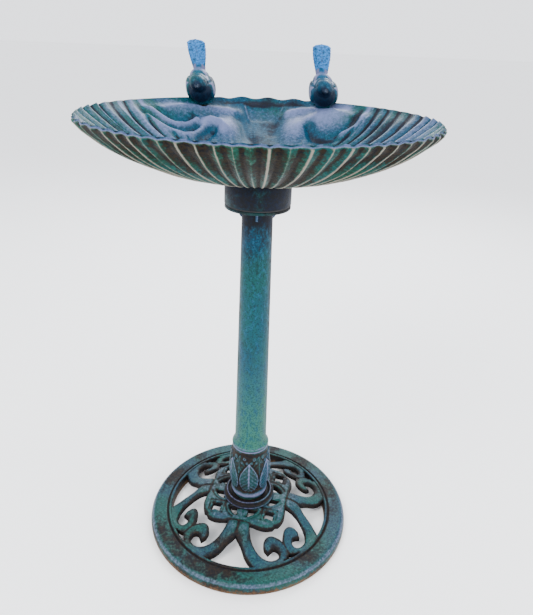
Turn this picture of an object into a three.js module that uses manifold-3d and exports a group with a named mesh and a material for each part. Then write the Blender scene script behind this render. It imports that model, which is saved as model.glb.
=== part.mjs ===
// Pedestal bird bath: a fluted shell basin with two wrens, on a tapered column and an openwork base.
// Millimetres, +Z up, origin on the ground at the column's axis. The front of the bath faces -Y.
import * as THREE from 'three';
import { mergeVertices } from 'three/addons/utils/BufferGeometryUtils.js';
import Module from 'manifold-3d';

const wasm = await Module();
wasm.setup();

// Driving dimensions
const GAP = 0.3;                  // clearance where two separate pieces rest on each other
const BASE_R = 184;               // outside radius of the base ring
const RING_IN_R = 146;            // inside radius of the base ring
const RING_H = 22;                // height of the base ring's inner bead
const HUB_TOP = 50;               // height of the base's central plateau
const HUB_R = 70;                 // radius where the plateau starts to fall away
const LATTICE_T = 10;             // thickness of the scrollwork
const MOTIF_AXES = [34, 124, 214, 304];   // plan directions of the four scroll motifs, degrees
const COLUMN_TOP = 603.7;         // top edge of the column tube
const COLUMN_FOOT_R = 27.8;       // column radius at its foot
const COLUMN_TOP_R = 23.1;        // column radius under the cap
const COLUMN_WALL = 3;
const BEAD_Z = 170.2;             // underside of the bead that stands on the leaf sleeve
const CAP_R = 49;                 // radius of the column cap's flange
const CAP_TOP = 608.3;            // top of the cap's flange
const SPIGOT_R = 30;              // radius of the spigot that centres the basin
const HUB_WALL_R = 49.3;          // outside radius of the basin's hub
const HUB_FLOOR = 649.2;          // top of the basin's hub
const RIM_R = 247.4;              // mean radius of the basin's rim
const FLUTES = 64;                // flutes round the basin
const FLUTE_CROWDING = 0.24;      // how much closer the flutes lie at the front and back than at the sides
const FLUTE_DEPTH = 3.2;          // half the height of a flute at the rim, where the flutes have their mean width
const SHELL_T = 5.5;              // wall of the basin
const BIRD_X = 104.3;             // sideways place of each bird
const BIRD_Y = 208.4;             // each bird stands this far behind the axis
const PERCH_TOP = 723.3;          // top of the boss that a bird stands on
const TAIL_TOP = 825;             // highest point of the bath
const ROD_R = 4;                  // tie rod, M8

const radians = THREE.MathUtils.degToRad;
const smooth = THREE.MathUtils.smoothstep;

// Turns a three.js geometry into a solid that can be joined and cut.
function solidOf(geometry) {
  const bare = geometry.clone();
  bare.deleteAttribute('normal');
  bare.deleteAttribute('uv');
  const welded = mergeVertices(bare, 1e-4);
  const corners = welded.index.array;
  const kept = [];
  for (let i = 0; i < corners.length; i += 3) {
    const [a, b, c] = [corners[i], corners[i + 1], corners[i + 2]];
    if (a !== b && b !== c && c !== a) kept.push(a, b, c);
  }
  const vertProperties = new Float32Array(welded.attributes.position.array);
  return new wasm.Manifold(new wasm.Mesh({ numProp: 3, vertProperties, triVerts: new Uint32Array(kept) }));
}

function geometryOf(solid) {
  const mesh = solid.getMesh();
  const geometry = new THREE.BufferGeometry();
  geometry.setAttribute('position', new THREE.BufferAttribute(Float32Array.from(mesh.vertProperties), 3));
  geometry.setIndex(new THREE.BufferAttribute(Uint32Array.from(mesh.triVerts), 1));
  geometry.computeVertexNormals();
  return geometry;
}

const unite = (solids) => solids.reduce((whole, solid) => whole.add(solid));
const points = (pairs) => pairs.map(([x, y]) => new THREE.Vector2(x, y));

// A body turned about +Z from [radius, height] pairs, listed anticlockwise.
function turned(profile, segments = 32) {
  return new THREE.LatheGeometry(points(profile), segments).rotateX(Math.PI / 2);
}

// A closed ring section: the last pair meets the first.
const turnedRing = (profile, segments) => turned([...profile, profile[0]], segments);

// An upright rod, pin or disc between two heights.
const upright = (radius, low, high, segments = 16) =>
  turned([[0, low], [radius, low], [radius, high], [0, high]], segments);

function prism(shape, low, high, curveSegments = 2) {
  const settings = { depth: high - low, bevelEnabled: false, curveSegments };
  return new THREE.ExtrudeGeometry(shape, settings).translate(0, 0, low);
}

// ---------------------------------------------------------------- base
const domeHeight = (r) => 20 + (HUB_TOP - 20) * (1 - smooth(r, HUB_R, 142));

// One scroll motif in plan, drawn along +X: two S-shaped arms that spring from the frame and meet
// the ring, with the opening between them, whose edge curls in to the two leaf-tipped volutes.
const ARM_OUTER = [[70, 61], [87, 69], [104, 71.5], [120, 70], [128.5, 68]];
const ARM_INNER = [[78, 45.5], [93, 50], [107, 50], [120, 46], [131, 37], [134.5, 25],
  [131, 17], [123.5, 15.5], [118.5, 20], [118.5, 27], [120, 34]];
const VOLUTE = [[111, 36.5], [103.5, 33], [99, 25], [100, 15.5], [104.5, 8.5], [112, 1.5]];
const FRAME_CORNER = [67, 39];
const mirrored = (pairs) => pairs.map(([x, y]) => [x, -y]).reverse();

function motifOutline() {
  const shape = new THREE.Shape();
  shape.moveTo(45, -45);
  shape.lineTo(52, -51);
  shape.splineThru(points(ARM_OUTER.map(([x, y]) => [x, -y])));
  shape.lineTo(137, -70);
  shape.lineTo(149.5, -14);
  shape.lineTo(144, -14);
  shape.lineTo(140, -5);
  shape.lineTo(137, 0);
  shape.lineTo(140, 5);
  shape.lineTo(144, 14);
  shape.lineTo(149.5, 14);
  shape.lineTo(137, 70);
  shape.lineTo(128.5, 68);
  shape.splineThru(points([...ARM_OUTER.slice(0, -1).reverse(), [52, 51]]));
  shape.lineTo(45, 45);
  return shape;
}

function motifOpening() {
  const shape = new THREE.Shape();
  const tip = ARM_INNER[ARM_INNER.length - 1];
  shape.moveTo(...FRAME_CORNER);
  shape.splineThru(points(ARM_INNER));
  shape.splineThru(points([...VOLUTE, [115, 0]]));
  shape.splineThru(points([...mirrored(VOLUTE), [tip[0], -tip[1]]]));
  shape.splineThru(points([...mirrored(ARM_INNER).slice(1), [FRAME_CORNER[0], -FRAME_CORNER[1]]]));
  shape.splineThru(points([[84.9, -22], [92, 0], [84.9, 22], FRAME_CORNER]));
  return shape;
}

function polygon(pairs) {
  return new THREE.Shape(points(pairs));
}

// The frame round the hub is a square with bulging sides, one side to each motif.
function hubPlate() {
  const edge = [];
  for (let degree = 0; degree < 360; degree += 7.5) {
    const along = Math.abs((((degree + 45) % 90) + 90) % 90 - 45);
    const radius = 92 - 19.5 * smooth(along, 0, 45);
    edge.push([radius * Math.cos(radians(degree)), radius * Math.sin(radians(degree))]);
  }
  return polygon(edge);
}

const FRAME_WINDOW = [[58.5, 0], [69.5, -11], [80.5, 0], [69.5, 11]];

// Each lobe of the quatrefoil has a window either side of its cross plate.
function lobeWindow() {
  const [centre, radius, plate, inner] = [36, 26, 10, 43];
  const from = Math.asin(plate / radius);
  const to = Math.acos((inner - centre) / radius);
  const edge = [[inner, plate]];
  for (let i = 0; i <= 4; i += 1) {
    const angle = from + (to - from) * i / 4;
    edge.push([centre + radius * Math.cos(angle), radius * Math.sin(angle)]);
  }
  return polygon(edge);
}

// Bends the flat scrollwork over the dome of the base.
function domed(solid) {
  const geometry = geometryOf(solid);
  const position = geometry.attributes.position;
  for (let i = 0; i < position.count; i += 1) {
    const radius = Math.hypot(position.getX(i), position.getY(i));
    position.setZ(i, position.getZ(i) + domeHeight(radius));
  }
  return solidOf(geometry);
}

function openworkBase() {
  const slab = (shape) => solidOf(prism(shape, -LATTICE_T, 0));
  const cutter = (shape) => solidOf(prism(shape, -LATTICE_T - 5, 5));
  const turn = (solid, degrees) => solid.rotate([0, 0, degrees]);
  const window = lobeWindow();
  const otherWindow = polygon(window.getPoints().map((p) => [p.x, -p.y]).reverse());
  const web = polygon([[60, -10], [90, -8], [97, 0], [90, 8], [60, 10]]);
  const bud = new THREE.Shape().absarc(99.5, 0, 9.5, 0, 2 * Math.PI);
  let lattice = turn(slab(hubPlate()), MOTIF_AXES[0]);
  for (const axis of MOTIF_AXES) {
    const motif = slab(motifOutline()).subtract(cutter(motifOpening()));
    lattice = lattice.add(turn(motif.add(solidOf(prism(bud, -LATTICE_T, 0, 8))), axis));
    lattice = lattice.add(turn(slab(web), axis + 45));
  }
  for (const axis of MOTIF_AXES) {
    lattice = lattice.subtract(turn(cutter(polygon(FRAME_WINDOW)), axis));
    lattice = lattice.subtract(turn(cutter(window), axis + 45));
    lattice = lattice.subtract(turn(cutter(otherWindow), axis + 45));
  }
  lattice = lattice.subtract(solidOf(upright(ROD_R + 0.5, -20, 10)));
  const ring = turnedRing([[RING_IN_R, 0], [153, 0], [153, 13], [174, 13], [174, 0], [182.5, 0],
    [BASE_R, 3], [BASE_R, 13], [180, 18.5], [156, 20.5], [151, RING_H], [147, RING_H]], 56);
  return geometryOf(domed(lattice).add(solidOf(ring)));
}

// ---------------------------------------------------------------- column
const footCollar = () => turnedRing([[28.3, HUB_TOP + GAP], [47, HUB_TOP + GAP], [47, 53.5],
  [44, 55], [42, 60], [40, 61.5], [28.3, 61.5]], 32);

// The sleeve's outside is worked into eight upright leaves, so its radius waves round the column.
function leafSleeve() {
  const outer = [[31.6, 61.8], [33, 68], [35, 80], [37.6, 104], [38, 122], [35.5, 144], [32.3, BEAD_Z - GAP]];
  const geometry = turnedRing([[28.3, 61.8], ...outer, [28.3, BEAD_Z - GAP]], 48);
  const position = geometry.attributes.position;
  for (let i = 0; i < position.count; i += 1) {
    const [x, y, z] = [position.getX(i), position.getY(i), position.getZ(i)];
    const radius = Math.hypot(x, y);
    const leaf = 1.1 * Math.cos(8 * Math.atan2(y, x)) * smooth(radius, 28.5, 34);
    position.setXYZ(i, x * (radius + leaf) / radius, y * (radius + leaf) / radius, z);
  }
  return geometry;
}

const column = () => turnedRing([[COLUMN_FOOT_R, HUB_TOP + GAP], [COLUMN_FOOT_R, BEAD_Z],
  [32, BEAD_Z], [32.6, 174], [31.4, 178], [29, 180], [COLUMN_FOOT_R, 184],
  [COLUMN_TOP_R, COLUMN_TOP], [COLUMN_TOP_R - COLUMN_WALL, COLUMN_TOP],
  [COLUMN_FOOT_R - COLUMN_WALL, 184], [COLUMN_FOOT_R - COLUMN_WALL, HUB_TOP + GAP]], 32);

// The cap plugs into the column; its flange carries the basin and its spigot centres it.
function columnCap() {
  const under = COLUMN_TOP + GAP;
  const plug = COLUMN_TOP_R - COLUMN_WALL - GAP;
  const body = turnedRing([[ROD_R + 0.5, 594], [plug, 594], [plug, under], [CAP_R - 0.4, under],
    [CAP_R, under + 0.8], [CAP_R, CAP_TOP], [SPIGOT_R, CAP_TOP], [SPIGOT_R, 629],
    [SPIGOT_R - 1.5, 631.5], [26, 631.5], [26, CAP_TOP], [ROD_R + 0.5, CAP_TOP]], 32);
  const clear = COLUMN_TOP_R + 0.5;
  const gusset = polygon([[clear, 590], [clear + 2, 590], [37, under + 1], [clear, under + 1]]);
  const rib = prism(gusset, -2, 2).rotateX(Math.PI / 2);
  const ribs = [0, 90, 180, 270].map((degrees) => solidOf(rib).rotate([0, 0, degrees]));
  return geometryOf(unite([solidOf(body), ...ribs]));
}

const seatRing = () => turnedRing([[33, CAP_TOP + 0.2], [48.4, CAP_TOP + 0.2],
  [48.4, CAP_TOP + 1.9], [33, CAP_TOP + 1.9]], 32);

const washer = (bottom, inner, outer, thickness) => turnedRing([[inner, bottom], [outer, bottom],
  [outer, bottom + thickness], [inner, bottom + thickness]], 16);

function hexNut(bottom, height) {
  const body = turned([[0, bottom], [7.5, bottom], [7.5, bottom + height], [0, bottom + height]], 6);
  const hole = upright(ROD_R + GAP, bottom - 1, bottom + height + 1);
  return geometryOf(solidOf(body).subtract(solidOf(hole)));
}

// ---------------------------------------------------------------- basin
const SCREW_CIRCLE_R = 39.5;      // hub screws, from the basin's floor into the hub
const SCREW_HOLE_R = 2.6;
const FLOOR_TOP = HUB_FLOOR + GAP + SHELL_T;
const screwPlaces = [45, 135, 225, 315].map((degrees) => {
  return [SCREW_CIRCLE_R * Math.cos(radians(degrees)), SCREW_CIRCLE_R * Math.sin(radians(degrees))];
});

function basinHub() {
  const body = solidOf(turned([[0, 644], [SPIGOT_R + 0.5, 644], [SPIGOT_R + 0.5, 612], [33, 612],
    [33, 644], [45.5, 644], [45.5, CAP_TOP + 2.1], [HUB_WALL_R, CAP_TOP + 2.1],
    [HUB_WALL_R - 0.4, HUB_FLOOR], [0, HUB_FLOOR]], 32));
  const holes = screwPlaces.map(([x, y]) => solidOf(upright(SCREW_HOLE_R, 635, 660, 12)).translate([x, y, 0]));
  return geometryOf(body.subtract(unite(holes)));
}

// Height of the basin's underside, from the flat over the hub out to the rim.
const belly = new THREE.SplineCurve(points([[52, HUB_FLOOR + GAP], [98, 656], [136, 665.5],
  [165, 677], [190, 688.5], [211, 700.5], [230, 714], [241, 722.5], [RIM_R, 730]]));
function bellyHeight(radius) {
  if (radius <= 52) return HUB_FLOOR + GAP;
  let [low, high] = [0, 1];
  for (let i = 0; i < 30; i += 1) {
    const middle = (low + high) / 2;
    if (belly.getPoint(middle).x < radius) low = middle;
    else high = middle;
  }
  return belly.getPoint(low).y;
}

// The two smooth swellings inside the bowl, either side of the shell's hinge at the back.
function lobeHeight(x, y) {
  const across = (Math.abs(x) - 85) / 42;
  const along = (y - 172) / 30;
  return 9 * Math.exp(-across * across - along * along);
}

// Direction of a flute's crest, from its count round the basin: a whole number is a crest.
function fluteAngle(count) {
  const even = 2 * Math.PI * count / FLUTES;
  let angle = even;
  for (let i = 0; i < 20; i += 1) angle = even + FLUTE_CROWDING / 2 * Math.sin(2 * angle);
  return angle;
}

// Flutes stand out of the wall and run from the hub to the rim. They are shallow in the rim except at the
// basin's two sides, and fade out beside the hinge.
function fluteHeight(radius, angle, crest) {
  const fromHinge = Math.abs(THREE.MathUtils.euclideanModulo(angle * 180 / Math.PI - 90 + 180, 360) - 180);
  const width = 1 + FLUTE_CROWDING * Math.cos(2 * angle);
  const calm = 1 - 0.65 * smooth(radius, 215, RIM_R) * smooth(Math.abs(Math.sin(angle)), 0.25, 0.7);
  const depth = FLUTE_DEPTH * width * calm * smooth(radius, 60, 225) * (0.15 + 0.85 * smooth(fromHinge, 42, 50));
  return crest ? depth : -depth;
}

function basinShell() {
  const radii = [52, 100, 142, 178, 210, 234, RIM_R];
  const around = 2 * FLUTES;
  const position = [0, 0, HUB_FLOOR + GAP, 0, 0, FLOOR_TOP];
  const index = [];
  const ringStart = [];
  for (const side of ['under', 'inside']) {
    for (const ringRadius of radii) {
      ringStart.push(position.length / 3);
      const last = ringRadius === RIM_R;
      for (let i = 0; i < around; i += 1) {
        const angle = fluteAngle(i / 2);
        const flute = fluteHeight(ringRadius, angle, i % 2 === 0);
        const radius = ringRadius + 0.72 * flute - (last && side === 'inside' ? 3.6 : 0);
        const [x, y] = [radius * Math.cos(angle), radius * Math.sin(angle)];
        const rise = side === 'under' ? 0 : (last ? 2.2 : SHELL_T + lobeHeight(x, y));
        position.push(x, y, bellyHeight(ringRadius) - 0.62 * flute + rise);
      }
    }
  }
  const quad = (a, b, c, d) => index.push(a, b, c, a, c, d);
  for (let i = 0; i < around; i += 1) {
    const next = (i + 1) % around;
    index.push(0, ringStart[0] + next, ringStart[0] + i);
    index.push(1, ringStart[radii.length] + i, ringStart[radii.length] + next);
    for (let k = 0; k + 1 < radii.length; k += 1) {
      const [under, underOut] = [ringStart[k], ringStart[k + 1]];
      const [inside, insideOut] = [ringStart[radii.length + k], ringStart[radii.length + k + 1]];
      quad(under + i, under + next, underOut + next, underOut + i);
      quad(inside + i, insideOut + i, insideOut + next, inside + next);
    }
    const [edge, lip] = [ringStart[radii.length - 1], ringStart[2 * radii.length - 1]];
    quad(edge + i, edge + next, lip + next, lip + i);
  }
  const geometry = new THREE.BufferGeometry();
  geometry.setAttribute('position', new THREE.Float32BufferAttribute(position, 3));
  geometry.setIndex(index);
  return geometry;
}

const BOSS_BOTTOM = 706;
const PERCH_HOLE_R = 2.6;
function basin() {
  const perches = [-BIRD_X, BIRD_X];
  const bosses = perches.map((x) => solidOf(upright(9, BOSS_BOTTOM, PERCH_TOP, 20)).translate([x, BIRD_Y, 0]));
  const screwHoles = screwPlaces.map(([x, y]) =>
    solidOf(upright(SCREW_HOLE_R, 640, 670, 12)).translate([x, y, 0]));
  const perchHoles = perches.map((x) =>
    solidOf(upright(PERCH_HOLE_R, 690, 760, 12)).translate([x, BIRD_Y, 0]));
  const body = unite([solidOf(basinShell()), ...bosses]);
  return geometryOf(body.subtract(unite([...screwHoles, ...perchHoles])));
}

// A pan-head screw with its head at the given height, pointing down or up.
function panScrew(headFace, length, pointsUp) {
  const way = pointsUp ? 1 : -1;
  const profile = [[0, headFace - 2.8 * way], [3.2, headFace - 2.8 * way], [4.6, headFace - 1.4 * way],
    [4.6, headFace], [2.1, headFace], [2.1, headFace + (length - 3) * way], [0, headFace + length * way]];
  return turned(pointsUp ? profile : profile.reverse(), 12);
}

// ---------------------------------------------------------------- birds
const RIM_CLEAR_R = 230;          // the birds are slotted over the rim, clear of everything in this band
const RIM_CLEAR_TOP = 736;

// A wren that leans over the bowl with its tail cocked, drawn with its foot at the origin, facing -Y.
function bird(side) {
  const blob = (centre, radii, tilt = 0, rows = 8) => solidOf(new THREE.SphereGeometry(1, 2 * rows, rows)
    .scale(...radii).rotateX(radians(tilt)).translate(...centre));
  const tail = new THREE.Shape();
  const tailHeight = TAIL_TOP - PERCH_TOP - 42;
  tail.moveTo(-11, 0);
  tail.lineTo(11, 0);
  tail.lineTo(15.5, tailHeight - 14);
  tail.splineThru(points([[12.5, tailHeight - 4], [0, tailHeight], [-12.5, tailHeight - 4], [-15.5, tailHeight - 14]]));
  const paddle = new THREE.ExtrudeGeometry(tail, { depth: 5, bevelEnabled: false, curveSegments: 3 })
    .rotateX(Math.PI / 2).translate(0, 2.5, 0).rotateX(radians(-4)).translate(0, 29, 42.2);
  const beak = new THREE.ConeGeometry(5.5, 17, 10).rotateX(Math.PI + radians(8)).translate(0, -41, 32);
  const body = unite([
    solidOf(upright(13, GAP, 9, 20)),
    blob([0, 3, 26], [23.5, 31, 21.5], 14, 10),
    blob([0, 21, 42], [13, 15, 16]),
    blob([0, -22, 34], [14, 14.5, 14]),
    blob([-20.5, 8, 28], [4.5, 25, 16], 14, 6),
    blob([20.5, 8, 28], [4.5, 25, 16], 14, 6),
    solidOf(beak),
    solidOf(paddle),
  ]);
  const rimSlot = turnedRing([[RIM_CLEAR_R, 690], [260, 690], [260, RIM_CLEAR_TOP],
    [RIM_CLEAR_R, RIM_CLEAR_TOP]], 72).translate(side * BIRD_X, -BIRD_Y, -PERCH_TOP);
  return geometryOf(body.subtract(solidOf(upright(2.4, -5, 17, 12))).subtract(solidOf(rimSlot)));
}

// ---------------------------------------------------------------- finishes
function finish(colour, roughness, metalness = 0) {
  return new THREE.MeshStandardMaterial({ color: colour, roughness, metalness });
}
const verdigris = finish(0x2f6f6d, 0.55);
const shellBlue = finish(0x3f8496, 0.45);
const darkPatina = finish(0x24343d, 0.55);
const leafPatina = finish(0x33484c, 0.55);
const birdBlue = finish(0x2b6688, 0.5);
const zincSteel = finish(0x9a9c9c, 0.35, 0.9);
const blackRubber = finish(0x141414, 0.85);

// ---------------------------------------------------------------- assembly
const bath = new THREE.Group();
function place(name, geometry, material, x = 0, y = 0, z = 0) {
  const mesh = new THREE.Mesh(geometry, material);
  mesh.name = name;
  mesh.position.set(x, y, z);
  bath.add(mesh);
}

place('openwork_base', openworkBase(), verdigris);
place('foot_collar', footCollar(), darkPatina);
place('leaf_sleeve', leafSleeve(), leafPatina);
place('column', column(), verdigris);
place('column_cap', columnCap(), darkPatina);
place('seat_ring', seatRing(), blackRubber);
place('tie_rod', upright(ROD_R, 27, 622), zincSteel);
place('rod_washer_lower', washer(38.1, ROD_R + GAP, 11, 1.6), zincSteel);
place('rod_nut_lower', hexNut(31.2, 6.7), zincSteel);
place('rod_washer_upper', washer(CAP_TOP + 0.2, ROD_R + GAP, 11, 1.6), zincSteel);
place('rod_nut_upper', hexNut(CAP_TOP + 2, 6.7), zincSteel);
place('basin_hub', basinHub(), darkPatina);
place('basin', basin(), shellBlue);
screwPlaces.forEach(([x, y], i) => {
  place(`hub_screw_${i + 1}`, panScrew(FLOOR_TOP + 0.2, 16, false), zincSteel, x, y);
});
for (const [side, x] of [['left', -BIRD_X], ['right', BIRD_X]]) {
  place(`bird_${side}`, bird(-Math.sign(x)), birdBlue, x, BIRD_Y, PERCH_TOP);
  place(`bird_washer_${side}`, washer(BOSS_BOTTOM - 1.5, 2.5, 6, 1.3), zincSteel, x, BIRD_Y);
  place(`bird_screw_${side}`, panScrew(BOSS_BOTTOM - 1.7, 32, true), zincSteel, x, BIRD_Y);
}

export default bath;
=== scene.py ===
"""Looks of a pedestal bird bath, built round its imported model.

Metres in Blender, +Z up, the front of the bath faces -Y. The making functions below work in
millimetres, as the bath's makers would, and mesh_piece turns the result into metres.
"""
import math

import bpy
import numpy as np
from mathutils import Matrix, Vector
from mathutils.geometry import delaunay_2d_cdt
from mathutils.kdtree import KDTree


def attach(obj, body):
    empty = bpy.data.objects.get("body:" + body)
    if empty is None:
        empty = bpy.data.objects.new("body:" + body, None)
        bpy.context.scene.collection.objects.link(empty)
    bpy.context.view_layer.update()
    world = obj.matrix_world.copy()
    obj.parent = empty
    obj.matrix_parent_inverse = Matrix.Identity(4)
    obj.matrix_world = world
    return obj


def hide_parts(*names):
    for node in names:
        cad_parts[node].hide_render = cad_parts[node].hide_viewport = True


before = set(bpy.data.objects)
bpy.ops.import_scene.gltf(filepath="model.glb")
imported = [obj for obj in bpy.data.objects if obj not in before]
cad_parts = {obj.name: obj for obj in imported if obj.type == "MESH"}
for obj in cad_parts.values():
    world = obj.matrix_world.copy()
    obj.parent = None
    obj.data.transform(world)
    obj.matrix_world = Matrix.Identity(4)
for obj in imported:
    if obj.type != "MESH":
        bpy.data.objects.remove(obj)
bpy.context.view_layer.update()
MM = 0.001


# ------------------------------------------------------------------ camera, light and floor
def set_camera():
    """View from a little above the rim, tipped down and rolled slightly."""
    pitch, roll = math.radians(25.5), math.radians(2.35)
    camera = bpy.data.objects.new("camera", bpy.data.cameras.new("camera"))
    camera.data.lens = 32.61
    camera.data.sensor_width = 36
    turn = Matrix.Rotation(math.pi / 2 - pitch, 4, "X") @ Matrix.Rotation(roll, 4, "Z")
    camera.matrix_world = Matrix.Translation((0.0192, -0.8075, 0.8249)) @ turn
    bpy.context.scene.collection.objects.link(camera)
    bpy.context.scene.camera = camera


def set_lights():
    def panel(name, place, aim, size, watts, colour=(1, 1, 1)):
        light = bpy.data.objects.new(name, bpy.data.lights.new(name, "AREA"))
        light.data.size = size
        light.data.energy = watts
        light.data.color = colour
        light.location = place
        light.rotation_euler = (Vector(aim) - Vector(place)).to_track_quat("-Z", "Y").to_euler()
        bpy.context.scene.collection.objects.link(light)

    panel("key_panel", (-1.3, -1.5, 2.3), (0, 0, 0.45), 1.2, 75)
    panel("fill_panel", (1.9, -1.0, 1.4), (0, 0, 0.4), 1.6, 38)
    panel("back_panel", (0.3, 1.9, 1.9), (0, 0, 0.6), 1.4, 60, (0.93, 0.96, 1))
    world = bpy.data.worlds.new("studio")
    world.use_nodes = True
    world.node_tree.nodes["Background"].inputs["Color"].default_value = (0.93, 0.95, 1, 1)
    world.node_tree.nodes["Background"].inputs["Strength"].default_value = 2.3
    bpy.context.scene.world = world


def lay_floor():
    mesh = bpy.data.meshes.new("floor")
    half = 60.0
    corners = [(-half, -half, 0), (half, -half, 0), (half, half, 0), (-half, half, 0)]
    mesh.from_pydata(corners, [], [(0, 1, 2, 3)])
    floor = bpy.data.objects.new("floor", mesh)
    bpy.context.scene.collection.objects.link(floor)
    material = bpy.data.materials.new("pale_floor")
    material.use_nodes = True
    shader = material.node_tree.nodes["Principled BSDF"]
    shader.inputs["Base Color"].default_value = (0.92, 0.92, 0.92, 1)
    shader.inputs["Roughness"].default_value = 0.9
    mesh.materials.append(material)


# ------------------------------------------------------------------ finishes
class Finish:
    """A node material, with short ways to add the nodes that the finishes share."""

    def __init__(self, name):
        self.material = bpy.data.materials.new(name)
        self.material.use_nodes = True
        self.tree = self.material.node_tree
        self.shader = self.tree.nodes["Principled BSDF"]
        self.place = self.tree.nodes.new("ShaderNodeTexCoord").outputs["Object"]

    def feed(self, socket, value):
        if isinstance(value, bpy.types.NodeSocket):
            self.tree.links.new(value, socket)
        else:
            socket.default_value = value

    def noise(self, scale, detail=3.0, rough=0.5, stretch=(1, 1, 1), distort=0.0):
        mapping = self.tree.nodes.new("ShaderNodeMapping")
        mapping.inputs["Scale"].default_value = stretch
        self.tree.links.new(self.place, mapping.inputs["Vector"])
        node = self.tree.nodes.new("ShaderNodeTexNoise")
        node.inputs["Scale"].default_value = scale
        node.inputs["Detail"].default_value = detail
        node.inputs["Roughness"].default_value = rough
        node.inputs["Distortion"].default_value = distort
        self.tree.links.new(mapping.outputs["Vector"], node.inputs["Vector"])
        return node.outputs["Fac"]

    def attribute(self, name):
        node = self.tree.nodes.new("ShaderNodeAttribute")
        node.attribute_name = name
        return node.outputs["Fac"]

    def sum(self, first, second, weight=1.0, centre=0.0):
        """first + weight * (second - centre)"""
        node = self.tree.nodes.new("ShaderNodeMath")
        node.operation = "MULTIPLY_ADD"
        self.feed(node.inputs[0], second)
        node.inputs[1].default_value = weight
        shift = self.tree.nodes.new("ShaderNodeMath")
        shift.operation = "ADD"
        self.feed(shift.inputs[0], first)
        shift.inputs[1].default_value = -weight * centre
        self.tree.links.new(shift.outputs[0], node.inputs[2])
        return node.outputs[0]

    def span(self, value, low, high, to_low=0.0, to_high=1.0):
        node = self.tree.nodes.new("ShaderNodeMapRange")
        node.interpolation_type = "SMOOTHSTEP"
        self.feed(node.inputs["Value"], value)
        node.inputs["From Min"].default_value = low
        node.inputs["From Max"].default_value = high
        node.inputs["To Min"].default_value = to_low
        node.inputs["To Max"].default_value = to_high
        return node.outputs["Result"]

    def blend(self, factor, first, second):
        node = self.tree.nodes.new("ShaderNodeMix")
        node.data_type = "RGBA"
        self.feed(node.inputs["Factor"], factor)
        colours = [s for s in node.inputs if s.type == "RGBA"]
        for socket, value in zip(colours, (first, second)):
            self.feed(socket, (*value, 1) if isinstance(value, tuple) else value)
        return next(s for s in node.outputs if s.type == "RGBA")

    def bump(self, height, strength, distance):
        node = self.tree.nodes.new("ShaderNodeBump")
        node.inputs["Strength"].default_value = strength
        node.inputs["Distance"].default_value = distance
        self.feed(node.inputs["Height"], height)
        self.tree.links.new(node.outputs["Normal"], self.shader.inputs["Normal"])


def patina(name, ground, wash, bloom, cover=0.0, blotch=0.5, bloom_from=0.62, bloom_to=0.9,
           foot=None, tint=None, shine=0.42, specular=0.11, stretch=(1, 1, 1)):
    """Resin brushed with verdigris: a dark ground left in the hollows, a mottled wash on the
    open surface and a pearly bloom rubbed on the crests. The relief attribute is 0 in a hollow,
    0.5 on the open surface and 1 on a crest. foot is a colour that shows near the ground and the
    heights in metres where it fades out. tint is a colour that takes over where its attribute is 1."""
    finish = Finish(name)
    relief = finish.attribute("relief")
    clouds = finish.span(finish.noise(16, 5, 0.62, stretch), 0.3, 0.7)
    specks = finish.span(finish.noise(210, 5, 0.7, stretch), 0.27, 0.73)
    grain = finish.noise(1100, 2, 0.5)
    drift = finish.noise(9, 3, 0.55, stretch, 0.6)
    dark = finish.blend(finish.span(specks, 0.2, 0.8), *ground)
    teal = finish.blend(finish.span(drift, 0.4, 0.6), *wash)
    paler = tuple(min(1, 1.9 * c + 0.006) for c in wash[0])
    teal = finish.blend(finish.span(specks, 0.5, 0.95, 0, 0.55), teal, paler)
    where = finish.sum(finish.sum(relief, clouds, blotch, 0.5), specks, 0.2, 0.5)
    covered = finish.span(where, 0.22 - cover, 0.6 - cover)
    colour = finish.blend(covered, dark, teal)
    if tint:
        tinted = finish.blend(finish.span(specks, 0.35, 1.1), tint[0], wash[0])
        colour = finish.blend(finish.attribute(tint[1]), colour, tinted)
    pits = finish.span(finish.noise(430, 2, 0.5), 0.5, 0.62, 0, 0.5)
    colour = finish.blend(pits, colour, ground[0])
    if foot:
        height = finish.tree.nodes.new("ShaderNodeSeparateXYZ")
        finish.tree.links.new(finish.place, height.inputs[0])
        low = finish.span(finish.sum(height.outputs["Z"], specks, 0.012, 0.5), foot[1], foot[2], 1, 0)
        colour = finish.blend(low, colour, foot[0])
    # the bloom is rubbed patina on crests, and also a painted highlight where a piece raises its relief for
    # light, as on the birds' outlines; relief lowered for shade shows the dark ground as painted shade
    rub_and_highlight = finish.span(finish.sum(relief, specks, 0.14, 0.5), bloom_from, bloom_to, 0, 0.92)
    colour = finish.blend(rub_and_highlight, colour, bloom)
    finish.feed(finish.shader.inputs["Base Color"], colour)
    gloss = finish.sum(finish.span(covered, 0, 1, shine + 0.12, shine), grain, 0.18, 0.5)
    finish.feed(finish.shader.inputs["Roughness"], gloss)
    finish.shader.inputs["Specular IOR Level"].default_value = specular
    finish.bump(finish.sum(specks, grain, 0.3, 0.5), 0.35, 0.0006)
    return finish.material


def steel(name):
    finish = Finish(name)
    scuffs = finish.noise(420, 3, 0.6)
    finish.feed(finish.shader.inputs["Base Color"],
                finish.blend(finish.span(scuffs, 0.3, 0.7), (0.42, 0.43, 0.45), (0.66, 0.67, 0.68)))
    finish.shader.inputs["Metallic"].default_value = 1.0
    finish.feed(finish.shader.inputs["Roughness"], finish.span(scuffs, 0.3, 0.7, 0.3, 0.5))
    finish.bump(scuffs, 0.2, 0.0002)
    return finish.material


def rubber(name):
    finish = Finish(name)
    grain = finish.noise(900, 2, 0.5)
    finish.feed(finish.shader.inputs["Base Color"],
                finish.blend(finish.span(grain, 0.3, 0.7), (0.006, 0.006, 0.007), (0.02, 0.02, 0.022)))
    finish.feed(finish.shader.inputs["Roughness"], finish.span(grain, 0.3, 0.7, 0.75, 0.9))
    finish.bump(grain, 0.3, 0.0003)
    return finish.material


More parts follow.
